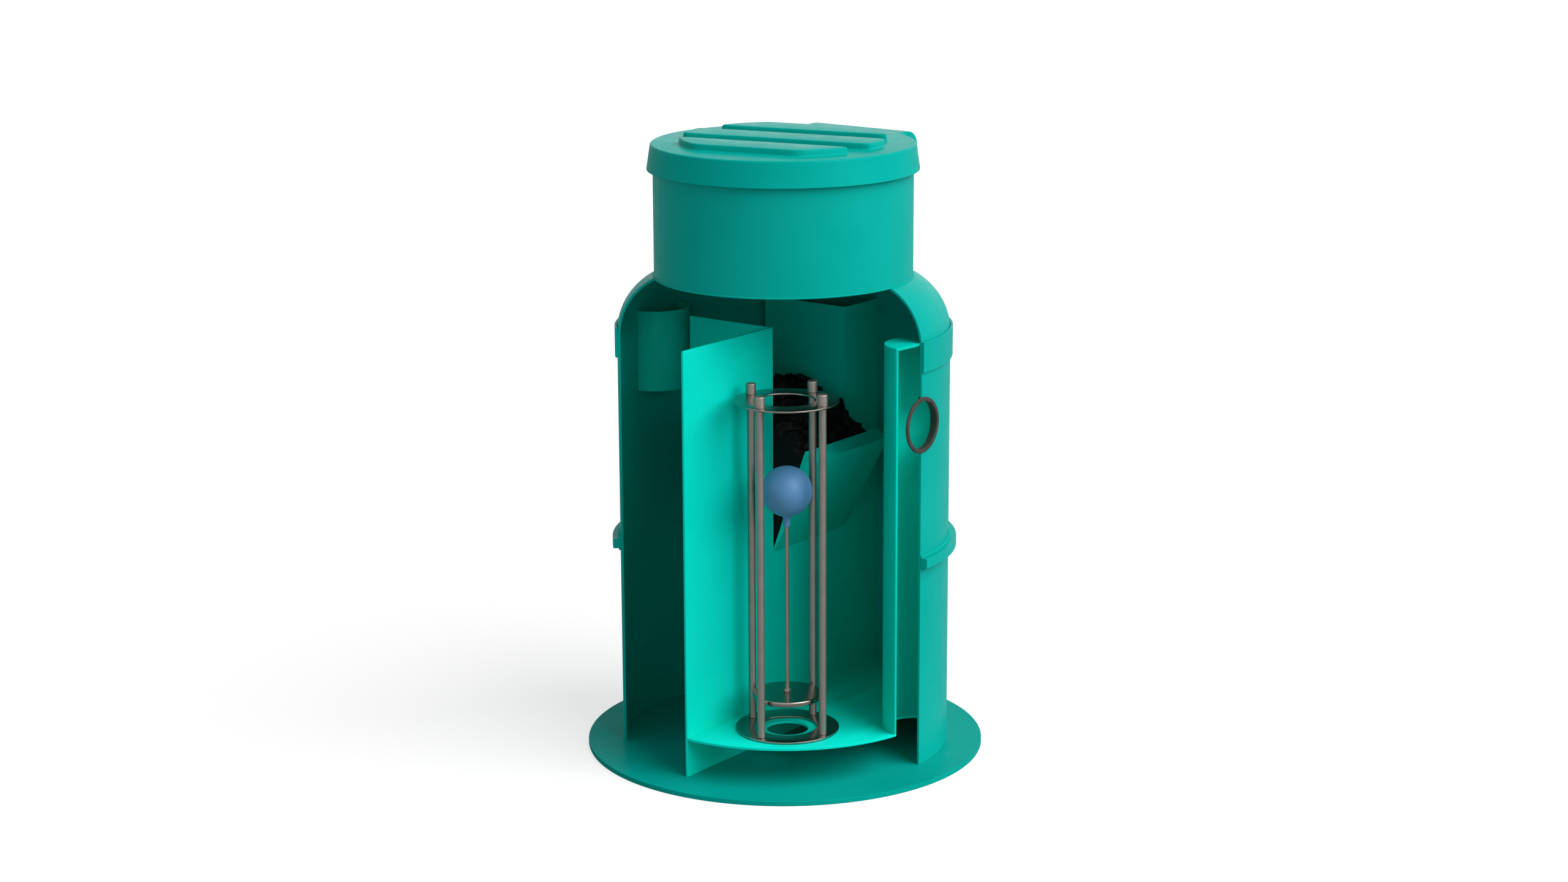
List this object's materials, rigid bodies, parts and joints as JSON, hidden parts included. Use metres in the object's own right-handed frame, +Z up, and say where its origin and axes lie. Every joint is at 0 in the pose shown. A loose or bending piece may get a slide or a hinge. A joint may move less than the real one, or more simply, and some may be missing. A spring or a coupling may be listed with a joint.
{
  "type": "oil separator",
  "caption": "Upright plastic oil separator, a sector of its shell cut away to show the cross wall, coalescer recess, outlet riser and float valve in its cage.",
  "frame": {"origin": "floor under the tank's axis, in the underside of the base plate", "axes": "+X from the inlet to the outlet, +Z up, +Y to the closed back of the tank"},
  "size_m": [0.9719, 0.972, 1.5015],
  "materials": {
    "tank_plastic": "semi-gloss welded sheet, sea green",
    "cage_steel": "satin stainless steel",
    "seal_rubber": "matt grey rubber",
    "coalescer_mesh": "black knitted mesh, rough",
    "float_plastic": "smooth blue moulded plastic"
  },
  "bodies": {
    "tank": {"base_plate": "tank_plastic", "tank_wall_lower": "tank_plastic", "tank_wall_upper": "tank_plastic", "stiffening_rib": "tank_plastic", "shoulder_collar": "tank_plastic", "shoulder": "tank_plastic", "neck": "tank_plastic", "lid": "tank_plastic", "cross_wall": "tank_plastic", "recess_side_near": "tank_plastic", "recess_side_far": "tank_plastic", "recess_floor": "tank_plastic", "recess_sill": "tank_plastic", "inlet_baffle": "tank_plastic", "outlet_riser": "tank_plastic", "outlet_riser_cap": "tank_plastic", "chamber_floor": "tank_plastic", "seat_ring": "cage_steel", "cage_top_ring": "cage_steel", "guide_rod_outlet": "cage_steel", "guide_rod_back": "cage_steel", "guide_rod_inlet": "cage_steel", "guide_rod_front": "cage_steel", "cap_nut_outlet": "cage_steel", "cap_nut_back": "cage_steel", "cap_nut_inlet": "cage_steel", "cap_nut_front": "cage_steel", "inlet_seal": "seal_rubber", "outlet_seal": "seal_rubber", "coalescer_pack": "coalescer_mesh"},
    "float_valve": {"valve_disc": "cage_steel", "stem_nut": "cage_steel", "float_stem": "cage_steel", "float_ball": "float_plastic"}
  },
  "joints": [
    {"name": "float_lift", "type": "slide", "parent": "tank", "child": "float_valve", "axis": [0, 0, 1], "range_m": [-0.0715, 0.1]}
  ]
}
